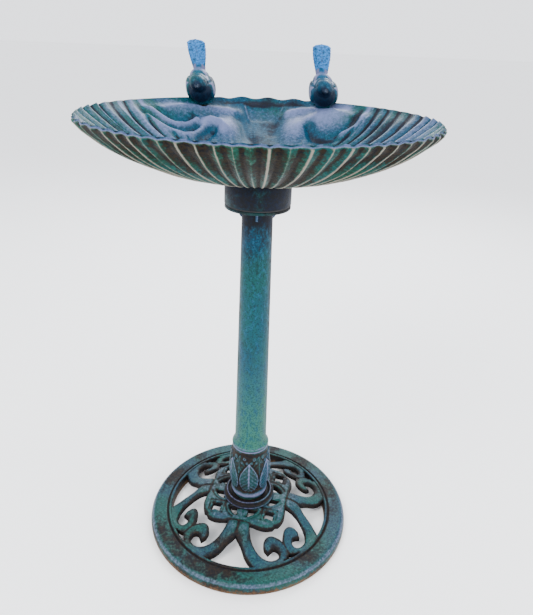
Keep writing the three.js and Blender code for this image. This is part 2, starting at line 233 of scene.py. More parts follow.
CHARCOAL = (0.003, 0.0038, 0.006)
BROWN = (0.014, 0.0085, 0.0055)
UMBER = (0.015, 0.0105, 0.006)
NAVY = (0.002, 0.005, 0.015)
TEAL = (0.002, 0.05, 0.05)
GREEN_TEAL = (0.005, 0.044, 0.03)
BLUE_TEAL = (0.002, 0.037, 0.072)
SKY = (0.033, 0.17, 0.45)
LILAC = (0.12, 0.125, 0.22)
BONE = (0.205, 0.175, 0.14)
COPPER = (0.09, 0.045, 0.018)
DULL_TEAL = (0.006, 0.043, 0.038)
DULL_BLUE = (0.008, 0.033, 0.052)
LEAF_TEAL = (0.007, 0.04, 0.042)
VERDIGRIS = (0.024, 0.107, 0.078)
PERIWINKLE = (0.115, 0.14, 0.27)
DEEP_BLUE = (0.002, 0.012, 0.03)

finishes = {
    "base": patina("verdigris_base", (CHARCOAL, BROWN), (DULL_TEAL, DULL_BLUE), LILAC, -0.05, 0.55,
                   foot=(COPPER, 0.001, 0.012)),
    "column": patina("verdigris_column", (CHARCOAL, NAVY), (BLUE_TEAL, TEAL), LILAC, 0.08, 0.3,
                     tint=(VERDIGRIS, "low"), stretch=(1, 1, 0.5)),
    "dark": patina("dark_resin", (CHARCOAL, BROWN), (NAVY, TEAL), LILAC, -0.12, 0.3),
    "leaves": patina("leaf_resin", (BROWN, CHARCOAL), (LEAF_TEAL, BLUE_TEAL), LILAC, -0.04, 0.4, 0.56, 0.92),
    "bowl_inside": patina("bowl_inside", (NAVY, CHARCOAL), (BLUE_TEAL, TEAL), PERIWINKLE, 0.1, 0.4,
                          0.52, 0.85),
    "bowl_outside": patina("bowl_outside", (UMBER, CHARCOAL), (GREEN_TEAL, TEAL), BONE, -0.06, 0.4,
                           0.58, 0.93, specular=0.03),
    "bird": patina("bird_resin", (DEEP_BLUE, NAVY), (BLUE_TEAL, TEAL), LILAC, 0.08, 0.25, tint=(SKY, "pale")),
    "hub": patina("drum_resin", (CHARCOAL, NAVY), (NAVY, TEAL), LILAC, -0.16, 0.5),
    "steel": steel("zinc_plate"),
    "rubber": rubber("seat_rubber"),
}


# ------------------------------------------------------------------ mesh helpers
def smoothstep(value, low, high):
    t = np.clip((value - low) / (high - low), 0, 1)
    return t * t * (3 - 2 * t)


def curve(points, step=1.5, closed=False):
    """Points about a step apart on a smooth curve through the given ones."""
    p = np.asarray(points, float)
    ends = (p[-1:], p[:2]) if closed else (2 * p[:1] - p[1:2], 2 * p[-1:] - p[-2:-1])
    whole = np.vstack([ends[0], p, ends[1]])
    out = []
    for a, b, c, d in zip(whole, whole[1:], whole[2:], whole[3:]):
        count = max(1, round(float(np.linalg.norm(c - b)) / step))
        t = (np.arange(count) / count)[:, None]
        out.append(0.5 * (2 * b + (c - a) * t + (2 * a - 5 * b + 4 * c - d) * t**2
                          + (3 * b - a - 3 * c + d) * t**3))
    if not closed:
        out.append(p[-1:])
    return np.vstack(out)


def line_distance(x, y, points):
    """Distance of each (x, y) from a curve in plan."""
    path = curve(points, 2.0)
    tree = KDTree(len(path))
    for i, (px, py) in enumerate(path):
        tree.insert((px, py, 0), i)
    tree.balance()
    return np.array([tree.find((a, b, 0))[2] for a, b in zip(x, y)])


def mesh_piece(name, points, faces, sharp_degrees=42):
    mesh = bpy.data.meshes.new(name)
    mesh.from_pydata((np.asarray(points, float) * MM).tolist(), [], faces)
    mesh.shade_smooth()
    mesh.set_sharp_from_angle(angle=math.radians(sharp_degrees))
    piece = bpy.data.objects.new(name, mesh)
    bpy.context.scene.collection.objects.link(piece)
    return piece


def positions(piece):
    flat = np.empty(3 * len(piece.data.vertices), np.float32)
    piece.data.vertices.foreach_get("co", flat)
    return flat.reshape(-1, 3).astype(float) / MM


def normals(piece):
    flat = np.empty(3 * len(piece.data.vertices), np.float32)
    piece.data.vertices.foreach_get("normal", flat)
    return flat.reshape(-1, 3).astype(float)


def move_points(piece, points):
    piece.data.vertices.foreach_set("co", (points * MM).astype(np.float32).ravel())
    piece.data.update()


def paint(piece, name, values):
    """Stores a value from 0 to 1 on each point, for the finish to read."""
    layer = piece.data.attributes.new(name, "FLOAT", "POINT")
    layer.data.foreach_set("value", np.clip(values, 0, 1).astype(np.float32))


def settle(piece, finish, body, *nodes, slot, relief=None):
    """Gives a finished piece its material, the body it moves with and the nodes it stands for."""
    if isinstance(finish, str):
        piece.data.materials.append(finishes[finish])
    if relief is not None:
        paint(piece, "relief", relief)
    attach(piece, body)
    if nodes:
        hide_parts(*nodes)


def rounded(section, radius=0.7, closed=True):
    """Rounds the corners of a section with short arcs."""
    p = np.asarray(section, float)
    out = []
    for i, corner in enumerate(p):
        if not closed and i in (0, len(p) - 1):
            out.append(corner)
            continue
        before, after = p[i - 1] - corner, p[(i + 1) % len(p)] - corner
        lengths = np.linalg.norm(before), np.linalg.norm(after)
        cut = min(radius, 0.4 * lengths[0], 0.4 * lengths[1])
        first, last = corner + before / lengths[0] * cut, corner + after / lengths[1] * cut
        for t in (0, 0.25, 0.5, 0.75, 1):
            out.append((1 - t) ** 2 * first + 2 * t * (1 - t) * corner + t * t * last)
    return np.array(out)


def bands(start, rows, around, closed=False):
    """Quads between rings of points that follow one another from start."""
    faces = []
    for j in range(rows if closed else rows - 1):
        low, high = start + j * around, start + (j + 1) % rows * around
        for i in range(around):
            k = (i + 1) % around
            faces.append((low + i, low + k, high + k, high + i))
    return faces


def turned(name, section, segments=160, closed=True, sharp_degrees=42):
    """A body turned about the column's axis from (radius, height) pairs, listed anticlockwise. An open
    section starts and ends on the axis."""
    p = np.asarray(section, float)
    inner = p if closed else p[1:-1]
    angles = 2 * math.pi * np.arange(segments) / segments
    ring = np.stack([np.cos(angles), np.sin(angles)], 1)
    points = np.concatenate([np.column_stack([r * ring, np.full(segments, z)]) for r, z in inner])
    rows = len(inner)
    faces = bands(0, rows, segments, closed)
    if not closed:
        points = np.vstack([points, [0, 0, p[0][1]], [0, 0, p[-1][1]]])
        bottom, top = len(points) - 2, len(points) - 1
        last = (rows - 1) * segments
        for i in range(segments):
            k = (i + 1) % segments
            faces.append((bottom, k, i))
            faces.append((top, last + i, last + k))
    return mesh_piece(name, points, faces, sharp_degrees)


# ------------------------------------------------------------------ openwork base
MOTIF_AXES = (34, 124, 214, 304)
RING_IN = 146.0
HUB_TOP = 50.0
# One scroll motif in plan, along +X: the opening's edge against the arm, and round a volute.
ARM_INNER = [(78, 45.5), (93, 50), (107, 50), (120, 46), (131, 37), (134.5, 25), (131, 17), (123.5, 15.5),
             (118.5, 20), (118.5, 27), (120, 34)]
VOLUTE = [(111, 36.5), (103.5, 33), (99, 25), (100, 15.5), (104.5, 8.5), (112, 1.5), (115, 0)]
FRAME_SIDE = [(84.9, -22), (92, 0), (84.9, 22)]
FRAME_CORNER = (67, 39)
# The gap between two motifs, drawn along the direction midway between them.
V_SIDE = [(97, 0), (103, 5.5), (110.3, 12.7), (124.1, 23), (134.4, 35.4), (138.9, 42.8)]
LATTICE_T = 10
BASE_STEP = 1.7


def flip(points):
    return [(x, -y) for x, y in reversed(points)]


def spun(points, degrees):
    a = math.radians(degrees)
    p = np.asarray(points, float)
    return np.column_stack([p[:, 0] * math.cos(a) - p[:, 1] * math.sin(a),
                            p[:, 0] * math.sin(a) + p[:, 1] * math.cos(a)])


def arc(radius, start, stop, count, centre=(0, 0)):
    a = np.radians(np.linspace(start, stop, count))
    return np.column_stack([centre[0] + radius * np.cos(a), centre[1] + radius * np.sin(a)])


def base_openings():
    """Outlines of the openings in the scrollwork, in plan. Each is a closed curve."""
    half = [curve([FRAME_CORNER] + ARM_INNER), curve([ARM_INNER[-1], VOLUTE[0]]), curve(VOLUTE)]
    half = np.vstack([part[:-1] for part in half])
    opposite = (FRAME_CORNER[0], -FRAME_CORNER[1])
    side = curve([opposite] + FRAME_SIDE + [FRAME_CORNER])[1:-1]
    scroll = np.vstack([half, [VOLUTE[-1]], half[:0:-1] * (1, -1), [opposite], side])
    # a shallow round bite in the frame's side, facing the volutes
    bite, bite_r = (99.5, 0), 9.5
    away = scroll - bite
    near = np.hypot(*away.T) < bite_r
    scroll[near] = bite + bite_r * away[near] / np.hypot(*away[near].T)[:, None]
    edge = 17.1
    v_gap = np.vstack([curve(V_SIDE), arc(RING_IN, edge, -edge, 48), curve(flip(V_SIDE))[:-1]])
    notch = np.vstack([[(137, 0), (140, 5), (144, 14)], arc(RING_IN, 5.2, -5.2, 12), [(144, -14), (140, -5)]])
    window = [(58.5, 0), (69.5, -11), (80.5, 0), (69.5, 11)]
    lobe = np.vstack([[(43, 10)], arc(26, 22.6, 74.4, 14, (36, 0))])
    lobe = rounded(lobe, 2.0)
    outlines = []
    for axis in MOTIF_AXES:
        outlines += [spun(scroll, axis), spun(notch, axis), spun(rounded(window, 2.0), axis),
                     spun(v_gap, axis + 45), spun(lobe, axis + 45), spun(lobe[::-1] * (1, -1), axis + 45)]
    return outlines


def dome_height(r):
    return 20 + 30 * (1 - smoothstep(r, 70, 142))


def inside_polygon(x, y, outline):
    within = np.zeros(len(x), bool)
    ax, ay = outline.T
    bx, by = np.roll(ax, -1), np.roll(ay, -1)
    for x0, y0, x1, y1 in zip(ax, ay, bx, by):
        if y0 != y1:
            crosses = (y0 > y) != (y1 > y)
            within ^= crosses & (x < (x1 - x0) * (y - y0) / (y1 - y0) + x0)
    return within


def base_seams():
    """Engraved lines that part the straps of the hub's frame, in plan."""
    lines = []
    for axis in MOTIF_AXES:
        lines.append((spun(arc(34, 28, 96, 30, (36, 0)), axis + 45), 1.4))
        lines.append((spun(arc(34, -28, -96, 30, (36, 0)), axis + 45), 1.4))
        lines.append((spun(curve([(73, 0), (85, 0), (98, 0)]), axis + 45), 2.0))
        for side in (-1, 1):
            for way, far in ((1, 0.75), (-1, 0.9)):
                strap = [(69.5 + way * 19 * t, side * (19 - 19 * t)) for t in np.linspace(0, far, 12)]
                lines.append((spun(strap, axis), 1.3))
        lines.append((spun(curve([(73.5, -20), (73, 0), (73.5, 20)]), axis + 45), 1.6))
        lines.append((spun(curve([(118, 0), (126, 0), (136, 0)]), axis), 1.2))
        lines.append((spun(curve([(108, 9), (114, 3), (118, 0), (114, -3), (108, -9)]), axis), 1.2))
    return lines


def make_base():
    outlines = base_openings()
    # the scrollwork runs into the ring, so its mesh ends inside the ring's wall
    rim = arc(RING_IN + 3, 0, 360, 361)[:-1]
    loops = [rim] + outlines
    points, edges = [], []
    for loop in loops:
        start = len(points)
        points += [tuple(p) for p in loop]
        edges += [(start + i, start + (i + 1) % len(loop)) for i in range(len(loop))]
    border = np.array(points)
    tree = KDTree(len(border))
    for i, (x, y) in enumerate(border):
        tree.insert((x, y, 0), i)
    tree.balance()
    steps = np.arange(-150, 150, BASE_STEP)
    gx, gy = (g.ravel() for g in np.meshgrid(steps, steps))
    gx = gx + 0.25 * BASE_STEP * np.sin(gy * 3.1)
    keep = np.hypot(gx, gy) < RING_IN + 2
    for outline in outlines:
        keep &= ~inside_polygon(gx, gy, outline)
    gx, gy = gx[keep], gy[keep]
    gap = np.array([tree.find((x, y, 0))[2] for x, y in zip(gx, gy)])
    clear = gap > 0.75
    points += list(zip(gx[clear], gy[clear]))
    flat, _, faces, *_ = delaunay_2d_cdt([Vector(p) for p in points], edges, [], 0, 1e-4)
    flat = np.array([tuple(p) for p in flat])
    faces = np.array([f for f in faces if len(f) == 3])
    centre = flat[faces].mean(1)
    solid = np.hypot(*centre.T) < RING_IN + 3
    for outline in outlines:
        solid &= ~inside_polygon(centre[:, 0], centre[:, 1], outline)
    faces = faces[solid]
    used, index = np.unique(faces, return_inverse=True)
    flat, faces = flat[used], index.reshape(-1, 3)

    edge_tree = KDTree(sum(len(o) for o in outlines))
    for i, (x, y) in enumerate(np.vstack(outlines)):
        edge_tree.insert((x, y, 0), i)
    edge_tree.balance()
    away = np.array([edge_tree.find((x, y, 0))[2] for x, y in flat])
    r = np.hypot(*flat.T)
    crown = 1 - (1 - np.clip(away / 6.5, 0, 1)) ** 2.2
    height = dome_height(r) - 2.6 + 3.4 * crown
    near_hub = 1 - smoothstep(r, 84, 100)
    crest = smoothstep(away, 4.4 - 2 * near_hub, 7.8 - 3 * near_hub)
    relief = 0.02 + 0.46 * smoothstep(away, 0.6, 3.4 - near_hub) + (0.12 + 0.08 * near_hub) * crest
    for path, half in base_seams():
        seam = np.exp(-(line_distance(flat[:, 0], flat[:, 1], path) / half) ** 2)
        height -= 1.3 * seam
        relief -= 0.5 * seam
    hub = 1 - smoothstep(r, 44, 49)
    height = height * (1 - hub) + (HUB_TOP + 0.1) * hub
    under = np.column_stack([flat, dome_height(r) - LATTICE_T])
    top = np.column_stack([flat, height])
    count = len(flat)
    pairs = np.sort(np.concatenate([faces[:, [0, 1]], faces[:, [1, 2]], faces[:, [2, 0]]]), 1)
    directed = np.concatenate([faces[:, [0, 1]], faces[:, [1, 2]], faces[:, [2, 0]]])
    _, inverse, times = np.unique(pairs, axis=0, return_inverse=True, return_counts=True)
    open_edges = directed[times[inverse.ravel()] == 1]
    area = np.cross(flat[faces[:, 1]] - flat[faces[:, 0]], flat[faces[:, 2]] - flat[faces[:, 0]])
    if area.mean() < 0:
        faces, open_edges = faces[:, ::-1], open_edges[:, ::-1]
    walls = [(a, a + count, b + count, b) for a, b in open_edges]
    every = [tuple(f) for f in faces] + [tuple(f[::-1] + count) for f in faces] + walls
    whole = np.vstack([top, under])
    tone = np.concatenate([relief, np.full(count, 0.1)])

    # the ring: foot, rounded outer edge, flat band, groove and inner bead
    channel = [(146, 0), (153, 0), (153, 13), (174, 13), (174, 0)]
    moulding = [(182, 0), (184, 2.2), (184.3, 8), (183.4, 12.5), (181.5, 16.2), (178.6, 18.8), (175, 19.9),
                (165, 20.3), (155.6, 20.7), (154.8, 19.2), (153.4, 18.2), (152, 19.2), (151.4, 21),
                (149.9, 22.2), (148.2, 22.3), (146.6, 21.2), (146, 19)]
    ring = np.vstack([channel, curve(moulding, 0.9)])
    tones = np.interp(ring[:, 0], [146, 147.5, 149.5, 151.4, 152.4, 154.2, 155.6, 158, 174, 179, 182, 184.3],
                      [0.1, 0.5, 0.56, 0.2, -0.3, -0.3, 0.4, 0.44, 0.48, 0.7, 0.74, 0.45])
    tones[ring[:, 1] < 13.5] = np.interp(ring[ring[:, 1] < 13.5, 1], [0, 2, 12, 13.5], [0.1, 0.25, 0.5, 0.6])
    segments = 288
    angles = 2 * math.pi * np.arange(segments) / segments
    start = len(whole)
    rounds = [np.column_stack([ring_r * np.cos(angles), ring_r * np.sin(angles), np.full(segments, z)])
              for ring_r, z in ring]
    whole = np.vstack([whole] + rounds)
    tone = np.concatenate([tone, np.repeat(tones, segments)])
    every += bands(start, len(ring), segments, closed=True)
    base = mesh_piece("scroll_base", whole, [tuple(int(v) for v in f) for f in every], 50)
    settle(base, "base", "stand", "openwork_base", slot="verdigris", relief=tone)


# ------------------------------------------------------------------ column, collar and leaf sleeve
def make_column():
    foot_r, top_r, wall = 27.8, 23.1, 3.0
    foot_z, taper_z, top_z = 50.4, 184, 603.5
    growth = (foot_r - top_r) / (top_z - taper_z)
    shaft = [(foot_r - wall, foot_z), (foot_r, foot_z), (foot_r, 170.3)]
    bead = [(31.2, 170.4), (32.4, 171.6), (32.7, 173.4), (32.2, 175.4), (30.9, 177.2), (29.4, 179),
            (28.5, 182), (27.9, 187)]
    upper = [(top_r + growth * (top_z - z), z) for z in np.linspace(195, top_z, 70)]
    inner = [(top_r - wall, top_z), (foot_r - wall, taper_z)]
    piece = turned("column_shaft", np.vstack([shaft, bead, upper, inner]), 160)
    x, y, z = positions(piece).T
    r = np.hypot(x, y)
    # painted shade: from z 530 up, the column darkens towards the cap, where the cap and its ribs shade it
    tone = np.interp(z, [168, 171, 174.5, 178, 182, 190, 530, 565, 588, 604],
                     [0.2, 0.45, 0.82, 0.5, 0.34, 0.5, 0.5, 0.34, 0.08, -0.15])
    # painted shade: darker on the sides facing ±X, which the lamps light less; the same from behind
    tone = tone - 0.2 * smoothstep(np.abs(x) / r, 0.8, 0.98)
    paint(piece, "low", 0.85 * (1 - smoothstep(z, 190, 420)))
    outside = top_r + growth * np.clip(top_z - z, 0, top_z - taper_z)
    settle(piece, "column", "stand", "column", slot="verdigris",
           relief=np.where(r < outside - 1.5, 0.1, tone))


def make_collar():
    section = [(28.4, 50.4), (46.2, 50.4), (47, 51.4), (47.1, 53.2), (46.2, 54.9), (44.6, 55.3), (43.6, 55.6),
               (42.9, 57), (42.6, 59), (42.1, 60.6), (41, 61.6), (39.6, 61.8), (38.6, 61.2), (38.2, 59.6),
               (37.4, 58.4), (35, 57.6), (28.4, 57.6)]
    tones = [0.1, 0.2, 0.5, 0.74, 0.6, 0.3, -0.1, 0.05, 0.2, 0.5, 0.76, 0.6, 0.2, -0.1, -0.1, -0.1, -0.1]
    segments = 160
    path = rounded(section, 0.35)
    piece = turned("collar_ring", path, segments)
    near = [int(np.argmin(np.hypot(*(np.array(section) - p).T))) for p in path]
    settle(piece, "dark", "stand", "foot_collar", slot="dark_patina",
           relief=np.repeat(np.array(tones)[near], segments))


def make_sleeve():
    """Two rows of upright leaves round a bulging sleeve, over a plain swollen foot, with curls above."""
    around, rows = 480, 150
    foot_z, top_z, bore_r, unroll = 61.9, 169.8, 28.4, 36
    z = np.concatenate([[59.8], np.linspace(60, 169.6, rows), [top_z]])
    angle = 2 * math.pi * np.arange(around) / around
    big_a, big_z = np.meshgrid(angle, z)
    radius = np.interp(big_z, [60, 63, 70, 78, 83, 96, 110, 124, 144, 160, 166, 170],
                       [29.5, 31.6, 33.2, 32.6, 31.6, 33.6, 35, 35.2, 33.6, 32.2, 32, 31.2])
    foot_tone = np.interp(big_z, [60, 63, 69, 76, 80, 82], [0.1, 0.5, 0.92, 0.62, 0.3, 0.05])
    tone = np.where(big_z < 81, foot_tone, 0.22)
    lift = np.zeros_like(radius)

    def round_axis(offset, spacing):
        """Degrees from the nearest of the axes that are spacing apart."""
        return (np.degrees(big_a) + 90 - offset + spacing / 2) % spacing - spacing / 2

    half = 18.5
    for offset, low, high, thick, base_tone in ((30, 84, 163, 1.5, 0.33), (0, 81, 149, 2.7, 0.6)):
        across = np.abs(np.radians(round_axis(offset, 60))) * unroll
        up = np.clip((big_z - low) / (high - low), 0, 1)
        on_leaf = (up > 0) * (up < 1)
        width = half * np.interp(up, [0, 0.06, 0.2, 0.42, 0.62, 0.8, 0.92, 1],
                                 [0.35, 0.72, 0.97, 1, 0.84, 0.5, 0.2, 0])
        inside = np.clip(1 - across / np.maximum(width, 0.1), 0, 1) * on_leaf
        edge = smoothstep(inside * width, 0.0, 1.8)
        rib = np.exp(-(across / 1.3) ** 2) * smoothstep(up, 0.05, 0.3) * (up < 0.95)
        vein = 0.5 + 0.5 * np.cos(2 * math.pi * (big_z + 1.1 * across) / 9.0)
        swell = thick * edge * (0.65 + 0.5 * np.sin(math.pi * up)) + 0.7 * rib * edge + 0.35 * vein * edge
        border = np.exp(-((inside * width - 1.6) / 0.9) ** 2)
        leaf_tone = base_tone + 0.26 * rib + 0.1 * (vein - 0.5) + 0.22 * border
        dark_rim = np.exp(-((across - width - 0.8) / 1.3) ** 2) * on_leaf
        take = edge * (inside > 0)
        raised = np.maximum(lift * (1 - take) + swell * take, 0)
        lift = np.where(take > 0.02, raised, lift - 0.8 * dark_rim)
        tone = tone * (1 - take) + leaf_tone * take - 0.4 * dark_rim * (1 - take)
    for offset, height, size in ((15, 155, 4.4), (7, 147, 3.2), (23, 147, 3.2)):
        reach = np.hypot(np.radians(round_axis(offset, 30)) * unroll, big_z - height)
        curl = np.exp(-((reach - 0.5 * size) / (0.42 * size)) ** 2)
        lift, tone = np.maximum(lift, 1.5 * curl), np.maximum(tone, 0.2 + 0.5 * curl)
    lip = smoothstep(big_z, 163, 165.5)
    lift = lift * (1 - lip) + 0.4 * lip
    tone = tone * (1 - lip) + lip * np.where(big_z > 167.6, 0.85, 0.5)
    bore = np.full((2, around), bore_r)
    radii = np.vstack([radius + lift, bore])
    heights = np.maximum(np.concatenate([z, [top_z, foot_z]]), foot_z)
    points = np.concatenate([np.column_stack([row * np.cos(angle), row * np.sin(angle), np.full(around, h)])
                             for row, h in zip(radii, heights)])
    piece = mesh_piece("leaf_cup", points, bands(0, len(heights), around, closed=True), 60)
    tones = np.concatenate([tone.ravel(), np.full(2 * around, 0.05)])
    settle(piece, "leaves", "stand", "leaf_sleeve", slot="leaf_patina", relief=tones)


# ------------------------------------------------------------------ cap, seat ring and hub drum
def make_cap():
    section = rounded([(4.6, 594), (19.7, 594), (19.7, 604), (48.4, 604), (49, 604.8), (49, 607.6),
                       (48.4, 608.2), (30, 608.2), (30, 629), (28.4, 631.4), (26, 631.4), (26, 608.2),
                       (4.6, 608.2)], 0.4)
    cap = turned("cap_flange", section, 128)
    r = np.hypot(*positions(cap)[:, :2].T)
    settle(cap, "dark", "stand", "column_cap", slot="dark_patina", relief=np.where(r > 48, 0.52, 0.3))


def make_hub():
    section = [(0, 644.2), (30.6, 644.2), (30.6, 612.2), (32.8, 612.2), (32.8, 644.2), (45.6, 644.2),
               (45.6, 610.6), (48.9, 610.6), (49.3, 611.2), (49.2, 648.4), (48.8, 649), (0, 649)]
    hub = turned("hub_drum", section, 160, closed=False)
    z = positions(hub)[:, 2]
    settle(hub, "hub", "bowl", "basin_hub", slot="dark_patina",
           relief=np.interp(z, [610, 611.4, 613, 640, 649], [0.3, 0.55, 0.46, 0.5, 0.4]))


def repeated(name, source, places, finish):
    """Copies of one part set round the axis by geometry nodes. places is in metres and radians."""
    group = bpy.data.node_groups.new(name, "GeometryNodeTree")
    for label, kind in (("Count", "NodeSocketInt"), ("Circle radius", "NodeSocketFloat"),
                        ("First angle", "NodeSocketFloat"), ("Height", "NodeSocketFloat"),
                        ("Part", "NodeSocketObject")):
        group.interface.new_socket(label, in_out="INPUT", socket_type=kind)
    group.interface.new_socket("Geometry", in_out="OUTPUT", socket_type="NodeSocketGeometry")
    new, link = group.nodes.new, group.links.new
    given, result = new("NodeGroupInput"), new("NodeGroupOutput")
    line = new("GeometryNodeMeshLine")
    link(given.outputs["Count"], line.inputs["Count"])
    spread = new("ShaderNodeMath")
    spread.operation = "DIVIDE"
    spread.inputs[0].default_value = 2 * math.pi
    link(given.outputs["Count"], spread.inputs[1])
    step = new("ShaderNodeMath")
    step.operation = "MULTIPLY_ADD"
    link(new("GeometryNodeInputIndex").outputs[0], step.inputs[0])
    link(spread.outputs[0], step.inputs[1])
    link(given.outputs["First angle"], step.inputs[2])
    turn = new("ShaderNodeCombineXYZ")
    link(step.outputs[0], turn.inputs["Z"])
    arm = new("ShaderNodeCombineXYZ")
    link(given.outputs["Circle radius"], arm.inputs["X"])
    link(given.outputs["Height"], arm.inputs["Z"])
    swing = new("ShaderNodeVectorRotate")
    swing.rotation_type = "EULER_XYZ"
    link(arm.outputs[0], swing.inputs["Vector"])
    link(turn.outputs[0], swing.inputs["Rotation"])
    place = new("GeometryNodeSetPosition")
    link(line.outputs["Mesh"], place.inputs["Geometry"])
    link(swing.outputs[0], place.inputs["Position"])
    part = new("GeometryNodeObjectInfo")
    link(given.outputs["Part"], part.inputs["Object"])
    copies = new("GeometryNodeInstanceOnPoints")
    link(place.outputs[0], copies.inputs["Points"])
    link(part.outputs["Geometry"], copies.inputs["Instance"])
    link(turn.outputs[0], copies.inputs["Rotation"])
    realize, material = new("GeometryNodeRealizeInstances"), new("GeometryNodeSetMaterial")
    material.inputs["Material"].default_value = finishes[finish]
    link(copies.outputs[0], realize.inputs[0])
    link(realize.outputs[0], material.inputs["Geometry"])
    link(material.outputs[0], result.inputs[0])
    holder = bpy.data.objects.new(name, bpy.data.meshes.new(name + "_seed"))
    bpy.context.scene.collection.objects.link(holder)
    modifier = holder.modifiers.new(name, "NODES")
    modifier.node_group = group
    for item in group.interface.items_tree:
        if item.in_out == "INPUT":
            modifier[item.identifier] = source if item.name == "Part" else places[item.name]
    graph = bpy.context.evaluated_depsgraph_get()
    made = bpy.data.meshes.new_from_object(holder.evaluated_get(graph))
    holder.modifiers.clear()
    holder.data = made
    bpy.data.objects.remove(source)
    return holder


def make_hub_screws():
    """Pan heads with a cross recess, on the bowl's floor."""
    steps = 48
    tip, recess_floor, head_top = -13, 1.2, 2
    profile = [(2.1, -11), (2.1, -0.1), (4.5, 0), (4.6, 0.7), (4.4, 1.4), (3.9, 2.1), (3.1, 2.6), (2.2, 2.75),
               (1.2, 2.8), (0.5, 2.8)]
    angles = 2 * math.pi * np.arange(steps) / steps
    points = [(0, 0, tip), (0, 0, recess_floor)]
    for r, z in profile:
        for a in angles:
            x, y = r * math.cos(a), r * math.sin(a)
            arm = min(abs(x), abs(y))
            cross = (1 - smoothstep(arm, 0.35, 0.75)) * (1 - smoothstep(r, 2.2, 3.1))
            sink = 1.5 * cross if z > head_top else 0
            points.append((x, y, z - sink))
    faces = bands(2, len(profile), steps)
    last = 2 + (len(profile) - 1) * steps
    for i in range(steps):
        k = (i + 1) % steps
        faces.append((0, 2 + k, 2 + i))
        faces.append((1, last + i, last + k))
    screw = mesh_piece("hub_screw", points, faces, 40)
    places = {"Count": 4, "Circle radius": 0.0395, "First angle": math.pi / 4, "Height": 0.6552}
    piece = repeated("hub_screws", screw, places, "steel")
    settle(piece, None, "bowl", *(f"hub_screw_{i}" for i in (1, 2, 3, 4)), slot="zinc_steel")


def make_gussets():
    """Ribs that stiffen the cap's flange against the top of the column."""
    outline = [(23.3, 588), (25.2, 589.5), (30, 597), (37.5, 604.4), (23.3, 604.4)]
    points = [(x, side * 1.7, z) for side in (-1, 1) for x, z in outline]
    n = len(outline)
    faces = [tuple(range(n)), tuple(range(2 * n - 1, n - 1, -1))]
    faces += [(i, i + n, (i + 1) % n + n, (i + 1) % n) for i in range(n)]
    rib = mesh_piece("cap_rib", points, faces, 30)
    paint(rib, "relief", np.full(2 * n, 0.72))
    places = {"Count": 4, "Circle radius": 0.0, "First angle": 0.0, "Height": 0.0}
    piece = repeated("cap_ribs", rib, places, "column")
    settle(piece, None, "stand", slot="dark_patina")


# ------------------------------------------------------------------ birds
PERCH_X, PERCH_Y, PERCH_TOP = 104.3, 208.4, 723.3


